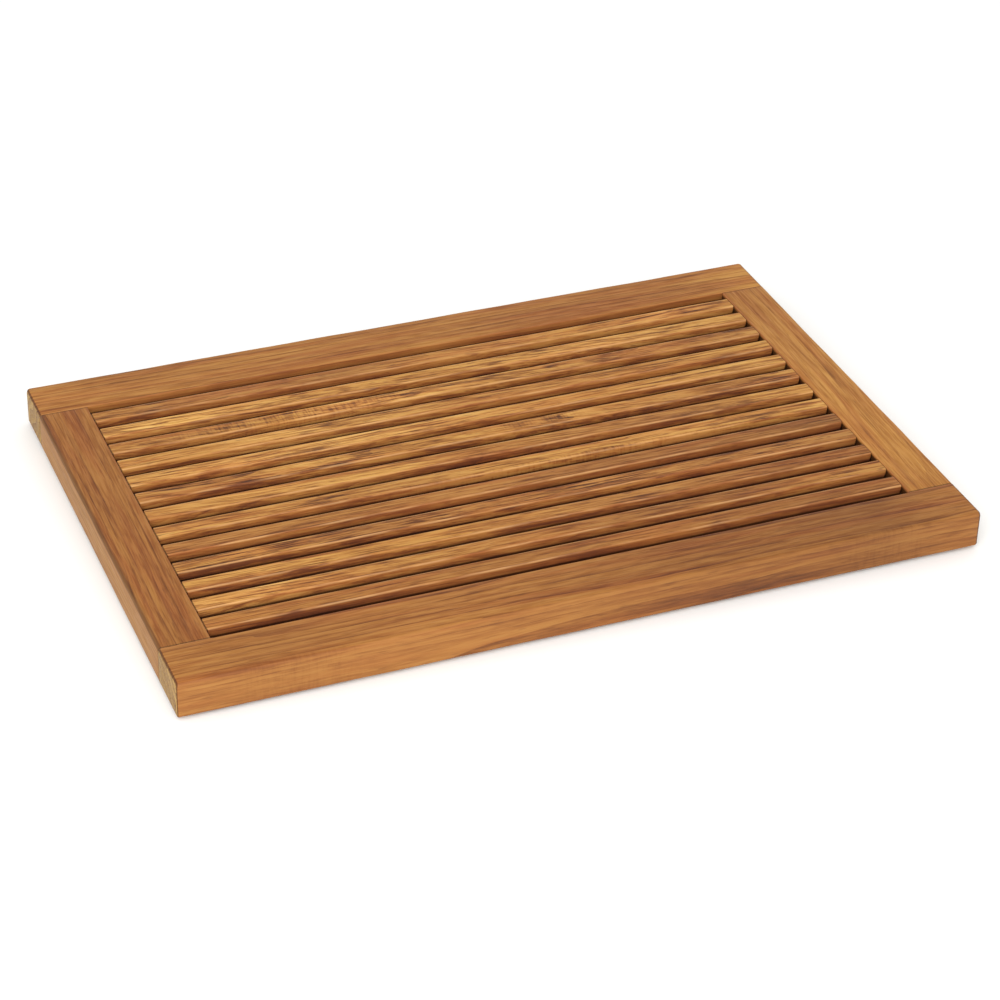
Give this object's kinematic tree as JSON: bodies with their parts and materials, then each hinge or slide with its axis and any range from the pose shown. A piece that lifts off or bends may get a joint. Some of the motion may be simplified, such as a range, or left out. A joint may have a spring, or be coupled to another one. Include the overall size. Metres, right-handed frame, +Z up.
{
  "type": "bath mat",
  "caption": "Rigid slatted teak bath mat: a rectangular frame of rails with lengthwise slats and drainage gaps between them, standing on low rubber feet.",
  "frame": {"origin": "the middle of the mat's footprint, on the floor that its feet stand on", "axes": "+X along the slats, to the right; +Y to the back; +Z up"},
  "size_m": [0.6, 0.4, 0.0305],
  "materials": {
    "teak_rail": "oiled teak, planed and sanded, satin",
    "teak_slat": "oiled teak, planed and sanded, satin, with a varied golden to red-brown figure",
    "teak_bearer": "oiled teak, sawn and lightly sanded, dull satin",
    "rubber_foot": "moulded black rubber, matt",
    "stainless_screw": "plain stainless steel, slightly dull"
  },
  "bodies": {
    "root": {"front_long_rail": "teak_rail", "back_long_rail": "teak_rail", "left_end_rail": "teak_rail", "right_end_rail": "teak_rail", "slat_01": "teak_slat", "slat_02": "teak_slat", "slat_03": "teak_slat", "slat_04": "teak_slat", "slat_05": "teak_slat", "slat_06": "teak_slat", "slat_07": "teak_slat", "slat_08": "teak_slat", "slat_09": "teak_slat", "slat_10": "teak_slat", "slat_11": "teak_slat", "slat_12": "teak_slat", "slat_13": "teak_slat", "centre_bearer": "teak_bearer", "bearer_screw_01": "stainless_screw", "bearer_screw_02": "stainless_screw", "bearer_screw_03": "stainless_screw", "bearer_screw_04": "stainless_screw", "bearer_screw_05": "stainless_screw", "bearer_screw_06": "stainless_screw", "bearer_screw_07": "stainless_screw", "bearer_screw_08": "stainless_screw", "bearer_screw_09": "stainless_screw", "bearer_screw_10": "stainless_screw", "bearer_screw_11": "stainless_screw", "bearer_screw_12": "stainless_screw", "bearer_screw_13": "stainless_screw", "bearer_screw_14": "stainless_screw", "bearer_screw_15": "stainless_screw", "back_left_foot": "rubber_foot", "back_middle_foot": "rubber_foot", "back_right_foot": "rubber_foot", "front_left_foot": "rubber_foot", "front_middle_foot": "rubber_foot", "front_right_foot": "rubber_foot"}
  },
  "joints": []
}
